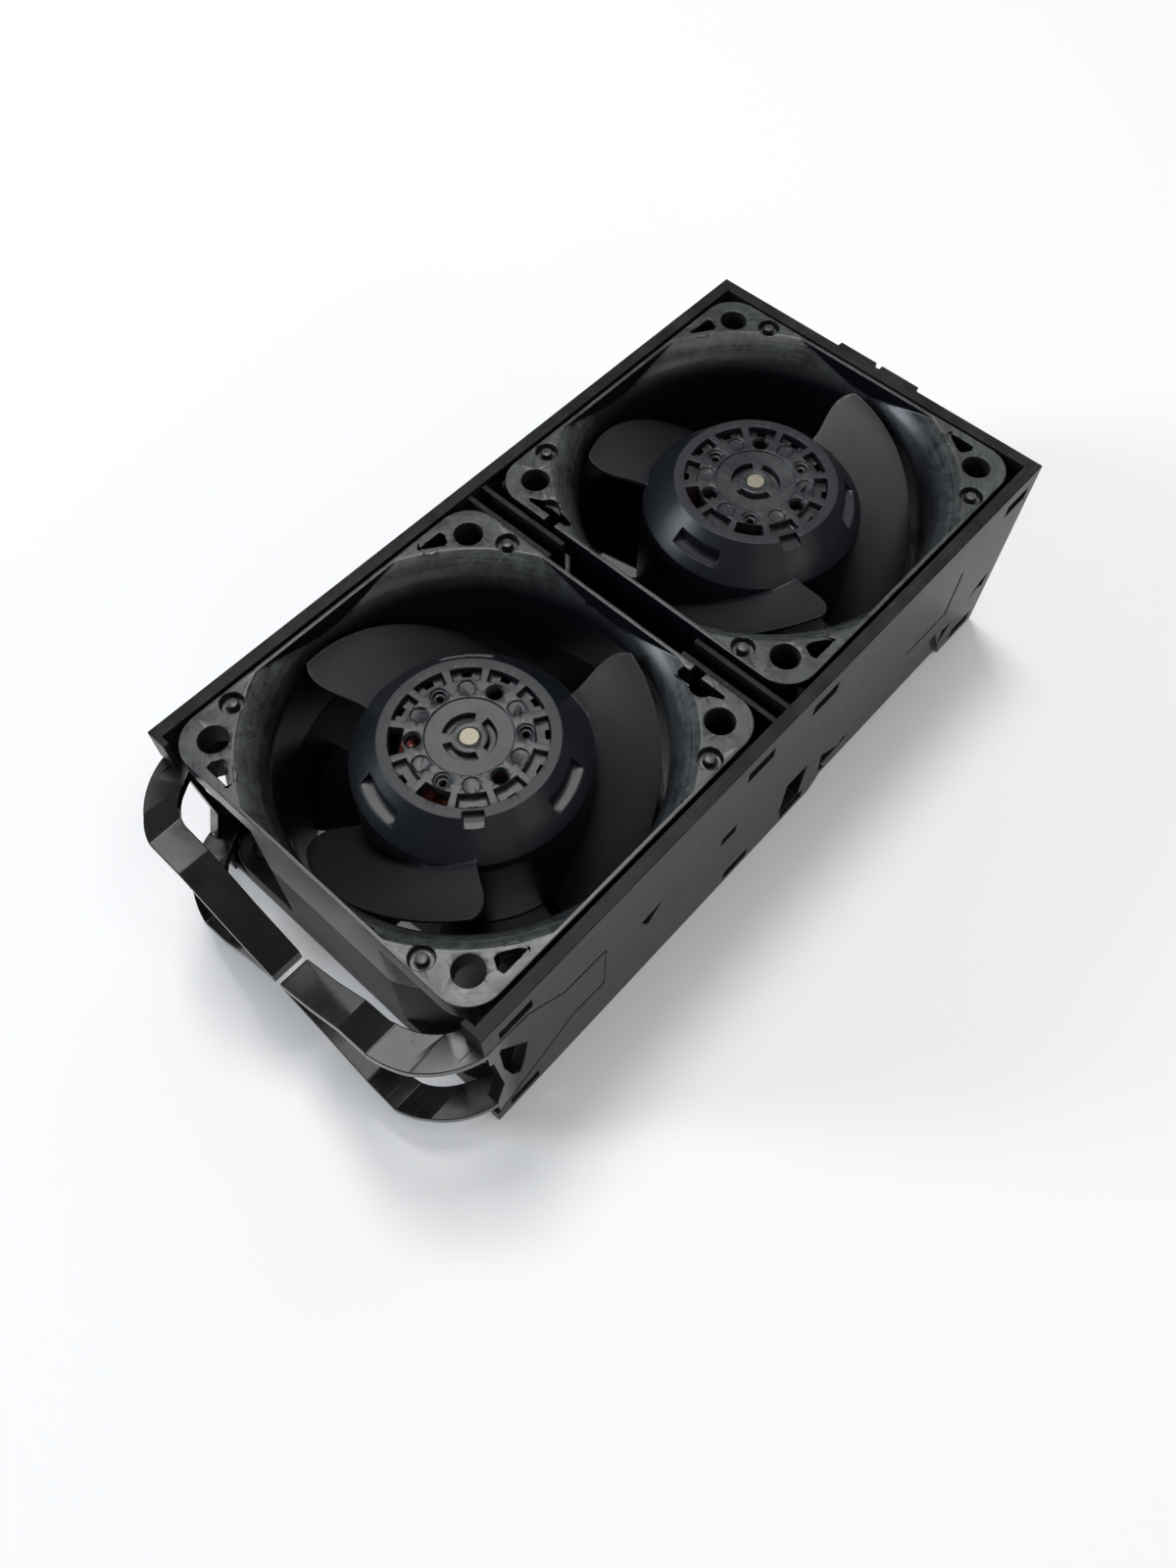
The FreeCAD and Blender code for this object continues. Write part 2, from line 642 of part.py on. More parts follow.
def cut_flange_corners(frame, fan):
    """The ejector pin marks, the three-sided lightening holes and the wire slot of the inlet flange."""
    marks = flat_sketch(frame, fan + "PinMarks", "XY", "fan_depth")
    for quarters in range(4):
        x, y = quarter_turn(*by_hole("-5.6", "2.2"), quarters + 3)
        disc(marks, x, y, "pin_recess_radius")
        disc(marks, x, y, "pin_radius")
    pocket(frame, marks, "pin_recess_deep")
    slots = flat_sketch(frame, fan + "CornerSlots", "XY", "fan_depth")
    triangle = [by_hole(-7.2, 1.5), by_hole(-6.6, 2.2), by_hole(-4.1, 3.9), by_hole(-3.4, 3.8),
                by_hole(-2.6, 2.4), by_hole(-2.8, 1.5)]
    for quarters in (0, 1, 2):
        outline(slots, [quarter_turn(x, y, quarters) for x, y in triangle])
    hook = [by_hole(-10.1, 2.3), by_hole(-9.8, 1.3), by_hole(-8.6, 1.3), by_hole(-8.6, -1), by_hole(-6.6, -1),
            by_hole(-6.6, 1.3), by_hole(-2.2, 1.3), by_hole(-1.9, 1.8), by_hole(-5.0, 3.3), by_hole(-9.6, 2.8)]
    outline(slots, [quarter_turn(x, y, 3) for x, y in hook])
    pocket(frame, slots, "flange_thick")


def outlet_bore(inner):
    """Half section of the outlet duct, outside the given radius."""
    return [(inner, 0), ("outlet_radius", 0), ("throat_radius", "outlet_chamfer"),
            ("throat_radius", "frame_split"), (inner, "frame_split")]


def build_outlet_frame(fan):
    """The outlet half of a fan's frame: flange and lower barrel."""
    frame = new_body(fan + "_outlet_frame")
    square_barrel(frame, fan + "LowerBarrel", 0, "frame_split")
    flange = flat_sketch(frame, fan + "OutletFlange", "XY")
    rounded_square(flange, HALF_FAN, "flange_round")
    pad(frame, flange, "flange_thick")
    duct = flat_sketch(frame, fan + "OutletDuct", "XZ")
    outline(duct, outlet_bore(0))
    revolve(frame, duct, "Groove")
    holes = flat_sketch(frame, fan + "OutletHoles", "XY")
    bolt_hole_outlines(holes)
    pocket(frame, holes, "flange_thick", up=True)
    return frame


def build_guide_vanes(fan):
    """Seven curved vanes between the motor base and the outlet duct, which straighten the air."""
    inner = number("base_radius - base_wall / 2")
    outer = number("throat_radius + 1.1")
    vane = twisted_sheet([inner, (inner + outer) / 2, outer], 0.0, -number("vane_wrap"), 0.0,
                         (number("vane_top"), number("vane_top")), number("base_inset + 0.6"),
                         number("vane_thick"), 0.0)
    ring = new_body(fan + "VaneRing")
    section = flat_sketch(ring, fan + "VaneRingSection", "XZ")
    outline(section, outlet_bore("base_radius"))
    revolve(ring, section)
    vanes = DOC.addObject("Part::Common", fan + "_guide_vanes")
    vanes.Base = group(fan + "Vanes", sheets_around(fan + "Vane", vane, VANES))
    vanes.Tool = ring
    return vanes


def build_motor_base(fan):
    """The round cup in the middle of the outlet that carries the motor."""
    rim_inner = "base_radius - base_wall"
    return build_turned(fan + "_motor_base", [
        ("tube_radius", "base_inset"), ("base_radius", "base_inset"), ("base_radius", "base_high"),
        (rim_inner, "base_high"), (rim_inner, "base_inset + base_plate"),
        ("tube_radius + base_wall", "base_inset + base_plate"),
        ("tube_radius + base_wall", "base_inset + 2 * base_plate"),
        ("tube_radius", "base_inset + 2 * base_plate")])


def cut_hub_bays(hub, fan):
    """The ring of shallow bays between the hub's spokes, two of them open to the windings."""
    spoke_half = "asin(spoke_width / 2 / spoke_inner) / 1deg"
    step = 360.0 / SPOKES
    bay = flat_sketch(hub, fan + "HubBay", "XY", HUB_TOP)
    sector(bay, "spoke_inner", "spoke_outer", "%s - %s" % (spoke_half, step / 2), "%s - %s" % (step / 2, spoke_half))
    around(hub, pocket(hub, bay, "bay_deep"), SPOKES)
    slit = flat_sketch(hub, fan + "HubBaySlit", "XY", HUB_TOP)
    sector(slit, "spoke_outer - 0.7", "spoke_outer", -3.5, 3.5)
    around(hub, pocket(hub, slit, "hub_plate"), SPOKES)
    window = flat_sketch(hub, fan + "HubWindows", "XY", HUB_TOP)
    for turn in OPEN_BAYS:
        sector(window, "spoke_inner", "spoke_outer", "%s - %s" % (spoke_half, step / 2 - step * turn),
               "%s - %s" % (step / 2 + step * turn, spoke_half))
    pocket(hub, window, "hub_plate")


def cut_hub_marks(hub, fan):
    """The hub face's round marks and holes, its sunk eye, and the slots in its shoulder."""
    mark = flat_sketch(hub, fan + "HubMark", "XY", HUB_TOP)
    disc(mark, "boss_circle", 0, 1.3)
    around(hub, pocket(hub, mark, 0.3), SPOKES)
    for turn, holes in ((-1, ((0.95, 0.9), (0.5, "hub_plate"))), (-3, ((1.1, "hub_plate"),))):
        angle = 360.0 / SPOKES * turn
        for radius, deep in holes:
            hole = flat_sketch(hub, "%sHubHole%d_%d" % (fan, -turn, round(radius * 10)), "XY", HUB_TOP)
            disc(hole, "boss_circle * cos(%s)" % angle, "boss_circle * sin(%s)" % angle, radius)
            around(hub, pocket(hub, hole, deep), BLADES)
    eye = flat_sketch(hub, fan + "HubEye", "XY", HUB_TOP)
    disc(eye, 0, 0, 6.4)
    pocket(hub, eye, 0.3)
    arc = flat_sketch(hub, fan + "HubArc", "XY", HUB_TOP)
    sector(arc, 2.7, 3.9, 44, 136)
    around(hub, pocket(hub, arc, 1.6), BLADES)
    slot = flat_sketch(hub, fan + "HubSlot", "XY", HUB_TOP)
    sector(slot, 14.7, 16.5, 45, 75)
    around(hub, pocket(hub, slot, "hub_slot_deep"), BLADES)
    notch = flat_sketch(hub, fan + "HubNotch", "XY", HUB_TOP)
    rectangle(notch, 12.0, 14.8, -1.5, 1.5)
    pocket(hub, notch, 1.2)


def build_impeller(fan):
    """The rotor moulding: open-topped hub and three wide blades."""
    hub = new_body(fan + "Hub")
    shell = flat_sketch(hub, fan + "HubShell", "XZ")
    under = "%s - hub_plate" % HUB_TOP
    inner = "hub_radius - hub_wall"
    shoulder = "fan_depth - hub_shoulder"
    outline(shell, [
        ("shaft_radius", HUB_TOP), ("hub_ring_radius", HUB_TOP), ("hub_radius - 0.2", shoulder, "-30"),
        ("hub_radius", "%s - 1.6" % shoulder), ("hub_radius", "hub_bottom"), (inner, "hub_bottom"),
        (inner, "%s - 1.0" % shoulder), ("hub_ring_radius - 0.6", under),
        ("hub_boss_radius", under), ("hub_boss_radius", "%s - hub_boss_long" % under),
        ("shaft_radius", "%s - hub_boss_long" % under)])
    revolve(hub, shell)
    cut_hub_bays(hub, fan)
    cut_hub_marks(hub, fan)
    root = number("hub_radius - hub_wall + 0.2")
    tip = number("throat_radius - tip_clear")
    radii = [root + (tip - root) * share for share in (0.0, 0.35, 0.7, 0.88, 1.0)]
    tops = (number("fan_depth - blade_root_top"), number("fan_depth - blade_tip_top"))
    blade = twisted_sheet(radii, 0.0, number("blade_wrap"), number("blade_sweep"), tops,
                          number("blade_bottom"), number("blade_thick"), 5.0)
    impeller = fuse(fan + "_impeller", [hub] + sheets_around(fan + "Blade", blade, BLADES))
    return impeller


def build_turned(label, points, z=0):
    """A turned piece from its half section of (radius, height) points."""
    body = new_body(label)
    section = flat_sketch(body, label + "Section", "XZ")
    outline(section, points)
    revolve(body, section)
    return body


def tube_points(inner, outer, low, high):
    return [(inner, low), (outer, low), (outer, high), (inner, high)]


def build_rotor_parts(fan):
    """What turns with the impeller: steel yoke, magnet, shaft and its clip."""
    yoke_top = "fan_depth - yoke_top"
    inner = "%s - yoke_wall" % YOKE_RADIUS
    yoke = build_turned(fan + "_rotor_yoke", [
        (inner, "yoke_bottom"), (YOKE_RADIUS, "yoke_bottom"), (YOKE_RADIUS, yoke_top),
        ("%s - 0.4" % CORE_RADIUS, yoke_top), ("%s - 0.4" % CORE_RADIUS, "%s - yoke_lip" % yoke_top),
        (inner, "%s - yoke_lip" % yoke_top)])
    magnet = build_turned(fan + "_magnet_ring", tube_points(
        "%s - magnet_thick" % MAGNET_RADIUS, MAGNET_RADIUS, "magnet_bottom", "%s - yoke_lip" % yoke_top))
    shaft = build_turned(fan + "_shaft", [
        (0, "shaft_bottom"), ("shaft_radius - 0.2", "shaft_bottom"), ("shaft_radius", "shaft_bottom + 0.2"),
        ("shaft_radius", "%s - shaft_recess - 0.15" % HUB_TOP),
        ("shaft_radius - 0.15", "%s - shaft_recess" % HUB_TOP), (0, "%s - shaft_recess" % HUB_TOP)])
    clip = build_turned(fan + "_retaining_ring", tube_points(
        "shaft_radius", "shaft_radius + 1.2", "shaft_bottom + 0.5", "shaft_bottom + 1.0"))
    return [yoke, magnet, shaft, clip]


def build_bearing(label, low):
    """A shielded ball bearing as one ring with its shields set back."""
    bore = "shaft_radius + bearing_clear"
    high = "%s + bearing_high" % low
    groove_in = "shaft_radius + 0.6"
    groove_out = "bearing_radius - 0.6"
    return build_turned(label, [
        (bore, low), (groove_in, low), (groove_in, "%s + 0.25" % low), (groove_out, "%s + 0.25" % low),
        (groove_out, low), ("bearing_radius", low), ("bearing_radius", high), (groove_out, high),
        (groove_out, "%s - 0.25" % high), (groove_in, "%s - 0.25" % high), (groove_in, high), (bore, high)])


def build_stator_parts(fan):
    """What stays still inside a fan: bearing tube, bearings, wound stator and circuit board."""
    tube = build_turned(fan + "_bearing_tube", tube_points(
        "bearing_radius", "tube_radius", "base_inset", "tube_top"))
    lower = build_bearing(fan + "_lower_bearing", "base_inset + bearing_inset + 3.2")
    upper = build_bearing(fan + "_upper_bearing", "tube_top - bearing_inset - bearing_high")
    core = build_core(fan)
    bobbin = build_bobbin(fan)
    coils = build_coils(fan)
    board = build_turned(fan + "_circuit_board", tube_points(
        "tube_radius + 1.6", "base_radius - base_wall - 0.3", "board_z", "board_z + board_thick"))
    parts = build_board_parts(fan)
    return [tube, lower, upper, core, bobbin, coils, board, parts]


def build_core(fan):
    """The laminated core: a ring with six T-shaped teeth."""
    core = new_body(fan + "_stator_core")
    ring = flat_sketch(core, fan + "CoreRing", "XY", "core_bottom")
    disc(ring, 0, 0, "tube_radius + core_ring")
    disc(ring, 0, 0, "tube_radius")
    pad(core, ring, "core_thick")
    tooth = flat_sketch(core, fan + "CoreTooth", "XY", "core_bottom")
    half = "tooth_width / 2"
    shoe_in = "%s - shoe_thick" % CORE_RADIUS
    outline(tooth, [("tube_radius + core_ring / 2", "-" + half), (shoe_in, "-" + half), (shoe_in, "-5"),
                    ("(%s) * cos(27)" % CORE_RADIUS, "-(%s) * sin(27)" % CORE_RADIUS, "-(%s)" % CORE_RADIUS),
                    ("(%s) * cos(27)" % CORE_RADIUS, "(%s) * sin(27)" % CORE_RADIUS),
                    (shoe_in, "5"), (shoe_in, half), ("tube_radius + core_ring / 2", half)])
    around(core, pad(core, tooth, "core_thick"), TEETH)
    return core


def tooth_block(name, inner_x, outer_x, width, low, high, angle):
    """A block lying along one tooth, turned about Z to that tooth's angle."""
    block = DOC.addObject("Part::Box", name)
    bind(block, Length="%s - (%s)" % (outer_x, inner_x), Width=width, Height="%s - (%s)" % (high, low))
    turn = FreeCAD.Rotation(UP, angle)
    corner = turn.multVec(V(number(inner_x), -number(width) / 2, number(low)))
    block.Placement = FreeCAD.Placement(corner, turn)
    x = "(%s) * cos(%s) + (%s) / 2 * sin(%s)" % (inner_x, angle, width, angle)
    y = "(%s) * sin(%s) - (%s) / 2 * cos(%s)" % (inner_x, angle, width, angle)
    return bind(block, Placement__Base__x=x, Placement__Base__y=y, Placement__Base__z=low)


def build_bobbin(fan):
    """The insulator: one moulded sleeve round each tooth with a collar at the core's ring."""
    low = "core_bottom - bobbin_wall"
    high = "core_bottom + core_thick + bobbin_wall"
    collar = DOC.addObject("Part::Cylinder", fan + "Collar")
    bind(collar, Radius="tube_radius + core_ring + bobbin_wall", Height="core_thick + 4 * bobbin_wall")
    place(collar, 0, 0, "core_bottom - 2 * bobbin_wall")
    sleeves = []
    for i in range(TEETH):
        sleeves.append(tooth_block("%sSleeve%d" % (fan, i + 1), "tube_radius + core_ring / 2",
                                   "%s - shoe_thick" % CORE_RADIUS, "tooth_width + 2 * bobbin_wall",
                                   low, high, i * 360 / TEETH))
    whole = fuse(fan + "BobbinBlank", [collar] + sleeves)
    bore = DOC.addObject("Part::Cylinder", fan + "BobbinBore")
    bind(bore, Radius="tube_radius", Height="core_thick + 6 * bobbin_wall")
    place(bore, 0, 0, "core_bottom - 3 * bobbin_wall")
    inside = fuse(fan + "BobbinInside", [DOC.getObject(fan + "CoreBlank"), bore])
    bobbin = DOC.addObject("Part::Cut", fan + "_stator_bobbin")
    bobbin.Base = whole
    bobbin.Tool = inside
    return bobbin


def build_coils(fan):
    """Six coils, each a block of wire round one tooth's sleeve."""
    coils = []
    inner_x = "tube_radius + core_ring + bobbin_wall + 0.2"
    outer_x = "%s - shoe_thick - 0.3" % CORE_RADIUS
    sleeve = "tooth_width + 2 * bobbin_wall"
    for i in range(TEETH):
        angle = i * 360 / TEETH
        wire = tooth_block("%sWire%d" % (fan, i + 1), inner_x, outer_x, sleeve + " + coil_build",
                           "core_bottom - bobbin_wall - coil_build",
                           "core_bottom + core_thick + bobbin_wall + coil_build", angle)
        window = tooth_block("%sWireWindow%d" % (fan, i + 1), inner_x, outer_x, sleeve,
                             "core_bottom - bobbin_wall", "core_bottom + core_thick + bobbin_wall", angle)
        coil = DOC.addObject("Part::Cut", "%sCoil%d" % (fan, i + 1))
        coil.Base = wire
        coil.Tool = window
        coils.append(coil)
    return group(fan + "_windings", coils)


def build_board_parts(fan):
    """The larger components soldered on the circuit board."""
    top = "board_z + board_thick"
    driver = box(fan + "DriverChip", -14.0, -3.0, top, 5.0, 6.0, 1.6)
    sensor = box(fan + "HallSensor", 11.0, -1.5, top, 3.0, 3.0, 1.4)
    store = DOC.addObject("Part::Cylinder", fan + "Capacitor")
    bind(store, Radius=2.0, Height=2.6)
    place(store, 0, 11.0, top)
    return group(fan + "_circuit_parts", [driver, sensor, store])


def set_down(pieces, fan_x, turn):
    """Stand a fan's pieces on the tray's floor at the fan's place and turn."""
    for piece in pieces:
        piece.Label = piece.Name
        place(piece, fan_x, 0, "floor_thick", turn)


def build_fan(fan, fan_x, turn, phase):
    """One complete fan. turn sets its frame in the tray, phase where its rotor stands."""
    core_blank = build_core_blank(fan)
    still = [build_inlet_frame(fan), build_outlet_frame(fan), build_guide_vanes(fan), build_motor_base(fan)]
    still += build_stator_parts(fan)
    moving = [build_impeller(fan)] + build_rotor_parts(fan)
    DOC.recompute()
    set_down(still, fan_x, turn)
    set_down(moving, fan_x, phase)
    return still + moving


def build_core_blank(fan):
    """The room that the core takes inside its bobbin."""
    blocks = []
    for i in range(TEETH):
        blocks.append(tooth_block("%sToothRoom%d" % (fan, i + 1), "tube_radius", "hub_radius", "tooth_width",
                                  "core_bottom", "core_bottom + core_thick", i * 360 / TEETH))
    ring = DOC.addObject("Part::Cylinder", fan + "RingRoom")
    bind(ring, Radius="tube_radius + core_ring", Height="core_thick")
    place(ring, 0, 0, "core_bottom")
    return fuse(fan + "CoreBlank", blocks + [ring])


# ---- connector ---------------------------------------------------------------------------------

def build_connector():
    """The plug in the far wall, which reaches in beside the far fan's barrel, and its contacts."""
    low = PLUG_Y + " - plug_width / 2"
    room = "(min(fan_square / 2; sqrt(abs(barrel_radius ^ 2 - (%s) ^ 2))) + plug_clear)" % low
    start = "(fan_pitch / 2 + %s)" % room
    long = "(%s - %s)" % (FAR_OUT, start)
    shell = box("PlugShell", start, low, "plug_z - plug_high / 2", long, "plug_width", "plug_high")
    rim = box("PlugRim", FAR_OUT, low + " - plug_flange", "plug_z - plug_high / 2 - plug_flange",
              "key_pad_proud", "plug_width + 2 * plug_flange", "plug_high + 2 * plug_flange")
    blank = fuse("PlugBlank", [shell, rim])
    sockets = []
    contacts = []
    for column in (-1.5, -0.5, 0.5, 1.5):
        for row in (-0.5, 0.5):
            y = "%s + %s * plug_pitch" % (PLUG_Y, column)
            z = "plug_z + %s * plug_pitch * 1.4" % row
            tag = "%d%d" % (column * 2 + 4, row * 2 + 2)
            sockets.append(box("Socket" + tag, start + " + plug_back", "%s - socket_size / 2" % y,
                               "%s - socket_size / 2" % z, long, "socket_size", "socket_size"))
            contacts.append(box("Contact" + tag, start + " + plug_back", "%s - contact_size / 2" % y,
                                "%s - contact_size / 2" % z, long + " - 2 * plug_back",
                                "contact_size", "contact_size"))
    housing = DOC.addObject("Part::Cut", "connector_housing")
    housing.Base = blank
    housing.Tool = group("Sockets", sockets)
    housing.Label = "connector_housing"
    pins = group("connector_contacts", contacts)
    pins.Label = "connector_contacts"
    return [housing, pins]


def check_all(pieces):
    """Stop if any object failed or any sub-part is not a sound solid."""
    for item in DOC.Objects:
        if "Invalid" in item.State or "Error" in item.State:
            raise ValueError("%s failed: %s" % (item.Name, item.State))
    for piece in pieces:
        if piece.Shape.isNull() or not piece.Shape.isValid() or not piece.Shape.Solids:
            raise ValueError(piece.Label + " is not a sound solid")


def main():
    pieces = [build_tray(), build_lever("right_release_lever", -1), build_lever("left_release_lever", 1)]
    pieces += build_connector()
    pieces += build_fan("near", "-fan_pitch / 2", 0, -132.6)
    pieces += build_fan("far", "fan_pitch / 2", 180, -117.4)
    DOC.recompute()
    check_all(pieces)
    os.makedirs("parts", exist_ok=True)
    for piece in pieces:
        piece.Shape.exportStep("parts/%s.step" % piece.Label)
        print("%-24s %d solids %9.1f mm3" % (piece.Label, len(piece.Shape.Solids), piece.Shape.Volume))


main()
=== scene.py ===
import json
import math

import bmesh
import bpy
from mathutils import Euler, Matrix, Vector


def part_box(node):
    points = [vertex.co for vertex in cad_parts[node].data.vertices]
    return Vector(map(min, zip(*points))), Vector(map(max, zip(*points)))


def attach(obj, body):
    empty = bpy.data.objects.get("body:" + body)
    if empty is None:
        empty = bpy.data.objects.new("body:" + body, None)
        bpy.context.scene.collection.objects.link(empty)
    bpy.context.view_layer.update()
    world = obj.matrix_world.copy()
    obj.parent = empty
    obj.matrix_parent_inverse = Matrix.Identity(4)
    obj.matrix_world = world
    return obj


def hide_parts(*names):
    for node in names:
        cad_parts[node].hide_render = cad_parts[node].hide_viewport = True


# Server fan module: two axial fans side by side in a moulded tray with two squeeze levers.
# +X runs from the levers to the connector end, +Y to the left wall, +Z out of the air inlets.

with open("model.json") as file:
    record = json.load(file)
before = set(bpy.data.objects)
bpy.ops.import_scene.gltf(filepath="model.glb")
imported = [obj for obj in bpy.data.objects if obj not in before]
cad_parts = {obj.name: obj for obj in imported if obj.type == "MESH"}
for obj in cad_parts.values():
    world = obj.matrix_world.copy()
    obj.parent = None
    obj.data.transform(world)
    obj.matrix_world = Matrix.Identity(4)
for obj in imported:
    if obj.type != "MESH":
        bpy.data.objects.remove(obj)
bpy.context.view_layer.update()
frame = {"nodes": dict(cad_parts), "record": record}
MM = 0.001
IN_MM = 1000.0

# Measures of the module, in mm. Heights are above the floor; radii are about a fan's axis.
# The frame film starts below the flange top, on the bell's lip, where its pale colour is a painted
# highlight.
FILM_AND_LIP_HIGHLIGHT_FROM = 33.0
FILM_AND_LIP_HIGHLIGHT_FULL = 40.2
LEVER_PLATE_X = -61.0
MOUTH = 32.55
HOLE_FROM_AXIS = 25.0
HOLE_RADIUS = 2.25
HUB_RADIUS = 18.1
HUB_RING_RADIUS = 13.2
HUB_DISC_RADIUS = 11.1

# Marks on the flange about the near fan's axis, in mm, for one corner; the far fan stands half a turn on.
PIN_MARK = (27.8, 19.4)
PIN_MARK_CLOSED = (19.4, 27.8)
PIN_RECESS = 1.8
PIN_ISLAND = 0.85
PIN_DEEP = 1.4
CORNER_SLOT = [(17.8, 28.5), (18.4, 27.8), (20.9, 26.1), (21.6, 26.2), (22.4, 27.6), (22.2, 28.5)]
WIRE_SLOT = [(27.7, -14.9), (28.7, -15.2), (28.7, -16.4), (31.0, -16.4), (31.0, -18.4), (28.7, -18.4),
             (28.7, -22.8), (28.2, -23.1), (26.7, -20.0), (27.2, -15.4)]

# How far a mould rounds the edges of each kind of piece, in mm.
ROUNDED = {
    "carrier_tray": 0.14,
    "release_lever": 0.16,
    "inlet_frame": 0.15,
    "outlet_frame": 0.15,
    "impeller": 0.12,
    "connector_housing": 0.12,
}
WELD = 0.002
SHARP_ANGLE = math.radians(24)
FLAT_ANGLE = math.radians(0.4)

# Base colours, linear. A film is the paler look of handled and rubbed plastic; where a film or black also
# carries painted light, its own comment says so.
TRAY_BLACK = (0.0112, 0.0105, 0.0096)
# The tray walls' film is rubbing, tinted warm as a painted reflection of warm surroundings.
WALL_FILM_WARM_REFLECTION = (0.034, 0.031, 0.028)
RAIL_FILM = (0.080, 0.083, 0.088)
LEVER_BLACK = (0.006, 0.006, 0.0062)
LEVER_FILM = (0.07, 0.07, 0.07)
FRAME_BLACK = (0.0032, 0.0042, 0.0066)
# The frame film is handling wear and swirl marks, and on the bell's lip a painted highlight.
FRAME_FILM_AND_LIP_HIGHLIGHT = (0.150, 0.162, 0.156)
# Painted shade: the near black of the frames' bolt holes.
BOLT_HOLE_SHADE = (0.0015, 0.0015, 0.0016)
# Painted reflection: the hub's black is tinted blue for the bluish surroundings it reflects.
HUB_BLACK_BLUE_REFLECTION = (0.0050, 0.0066, 0.0100)
BLADE_BLACK = (0.0120, 0.0127, 0.0138)
ROTOR_FILM = (0.125, 0.131, 0.131)
WIRE_DARK = (0.46, 0.062, 0.048)
WIRE_LIGHT = (0.92, 0.32, 0.24)
BOARD_DARK = (0.012, 0.075, 0.030)
BOARD_LIGHT = (0.022, 0.13, 0.055)

# Material slot: name, darkest and lightest colour, roughness, and the fineness of the grain along X, Y, Z.
METALS = {
    "contact_brass": ("contact_gold", (0.70, 0.48, 0.18), (0.86, 0.66, 0.32), 0.22, (900, 900, 900)),
    "yoke_steel": ("yoke_steel", (0.055, 0.055, 0.058), (0.12, 0.12, 0.125), 0.42, (600, 600, 60)),
    "shaft_steel": ("shaft_steel", (0.19, 0.172, 0.135), (0.34, 0.31, 0.25), 0.45, (2600, 2600, 2600)),
    "tube_brass": ("tube_brass", (0.48, 0.34, 0.13), (0.70, 0.53, 0.26), 0.28, (300, 300, 2500)),
    "core_steel": ("core_steel", (0.20, 0.20, 0.21), (0.42, 0.42, 0.44), 0.38, (200, 200, 5200)),
}

# Material slot: colour, roughness and specular level.
PLASTICS = {
    "connector_plastic": ((0.012, 0.012, 0.013), 0.4, 0.5),
    "duct_plastic": ((0.0042, 0.0045, 0.005), 0.42, 0.2),
    "magnet_ferrite": ((0.050, 0.050, 0.055), 0.55, 0.5),
    "bobbin_plastic": ((0.72, 0.70, 0.62), 0.45, 0.5),
    "component_plastic": ((0.02, 0.02, 0.021), 0.5, 0.5),
}

# Each lamp's name, place and size in metres, power in watts, and colour.
LAMPS = [
    ("ceiling", (0.19, 0.31, 1.08), (0.30, 0.35), 6.5, (1.0, 1.0, 1.0)),
    ("window", (-0.85, 0.90, 0.50), (0.30, 0.50), 8.0, (0.82, 0.90, 1.0)),
    ("side", (1.00, 0.20, 0.90), (0.50, 0.70), 1.1, (0.92, 0.96, 1.0)),
    ("front", (-0.60, -1.00, 0.55), (0.50, 0.40), 0.7, (1.0, 0.97, 0.92)),
    ("overhead", (-0.06, -0.02, 1.10), (0.30, 0.22), 0.9, (1.0, 1.0, 1.0)),
    ("right_high", (0.06, -0.48, 0.98), (0.34, 0.22), 1.2, (1.0, 1.0, 1.0)),
    ("right_low", (0.05, -0.98, 0.42), (0.40, 0.24), 0.9, (1.0, 1.0, 1.0)),
]
WORLD_COLOUR = (0.96, 0.98, 1.0, 1)
WORLD_STRENGTH = 0.16
FLOOR_HALF = 6.0
FLOOR_DROP = 0.0002
FLOOR_COLOUR = (0.86, 0.86, 0.86)
FLOOR_GLOW = (0.12, 0.12, 0.12)

# The camera stands above the levers' end and looks down along the module; places in mm.
CAMERA_PLACE = (-86.5, -69.6, 183.5)
CAMERA_AIM = (-19.1, -10.7, 20.0)
CAMERA_LENS = 27.42
CAMERA_ROLL = math.radians(1.24)


# ---- shader sockets ----------------------------------------------------------------------------

class Value:
    """A shader socket. Python's operators on it add Math nodes."""

    def __init__(self, finish, output):
        self.finish = finish
        self.output = output

    def maths(self, operation, first, second):
        return self.finish.add("Math", {"operation": operation}, {0: first, 1: second})

    def __add__(self, other):
        return self.maths("ADD", self, other)

    def __radd__(self, other):
        return self.maths("ADD", other, self)

    def __sub__(self, other):
        return self.maths("SUBTRACT", self, other)

    def __rsub__(self, other):
        return self.maths("SUBTRACT", other, self)

    def __mul__(self, other):
        return self.maths("MULTIPLY", self, other)

    def __rmul__(self, other):
        return self.maths("MULTIPLY", other, self)

    def __truediv__(self, other):
        return self.maths("DIVIDE", self, other)


